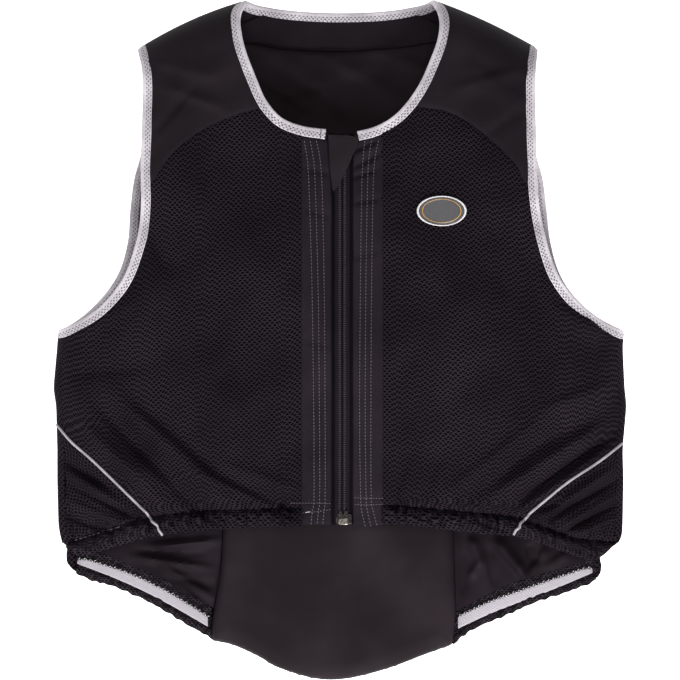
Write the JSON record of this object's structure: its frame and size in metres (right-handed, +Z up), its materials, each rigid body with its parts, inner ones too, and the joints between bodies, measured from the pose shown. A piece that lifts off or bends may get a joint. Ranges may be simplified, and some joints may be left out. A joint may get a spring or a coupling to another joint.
{
  "type": "padded riding vest",
  "caption": "Sleeveless zip-fronted riding vest of black spacer mesh with grey bindings and a longer padded back, lying on its back with the front up.",
  "frame": {"origin": "centre of the footprint, on the surface that the vest lies on", "axes": "+X across the vest to the viewer's right, +Y from the tail of the back up to the neck, +Z up from the surface, out of the front"},
  "size_m": [0.4914, 0.5852, 0.0516],
  "materials": {
    "mesh_cloth": "matt knitted spacer mesh with small staggered oval holes",
    "smooth_cloth": "matt smooth stretch cloth",
    "lining_cloth": "soft slightly sheeny lining knit",
    "binding_cloth": "light grey folded elastic binding",
    "gripper_tape": "light grey ribbed gripper elastic",
    "piping_cord": "light grey reflective piping",
    "zip_black": "black coil zip and woven tape",
    "zip_metal": "bright nickel-coloured die-cast metal",
    "badge_rubber": "moulded dark grey patch with a light rim"
  },
  "bodies": {
    "root": {"yoke_left": "smooth_cloth", "front_panel_left": "mesh_cloth", "side_panel_left": "mesh_cloth", "armhole_binding_front_left": "binding_cloth", "yoke_right": "smooth_cloth", "front_panel_right": "mesh_cloth", "side_panel_right": "mesh_cloth", "armhole_binding_front_right": "binding_cloth", "neck_binding_left": "binding_cloth", "neck_binding_right": "binding_cloth", "piping_left": "piping_cord", "piping_right": "piping_cord", "front_hem_left": "mesh_cloth", "front_hem_right": "mesh_cloth", "placket_left": "smooth_cloth", "placket_right": "smooth_cloth", "zip_tape": "zip_black", "zip_chain": "zip_black", "zip_box": "zip_metal", "zip_slider": "zip_metal", "zip_garage": "smooth_cloth", "badge": "badge_rubber", "back_shell": "mesh_cloth", "back_yoke": "smooth_cloth", "armhole_binding_back_left": "binding_cloth", "armhole_binding_back_right": "binding_cloth", "neck_binding_back": "binding_cloth", "back_pad": "lining_cloth", "neck_facing": "lining_cloth", "back_lining_left": "lining_cloth", "back_hem_left": "smooth_cloth", "gripper_tape_left": "gripper_tape", "back_lining_right": "lining_cloth", "back_hem_right": "smooth_cloth", "gripper_tape_right": "gripper_tape"}
  },
  "joints": []
}
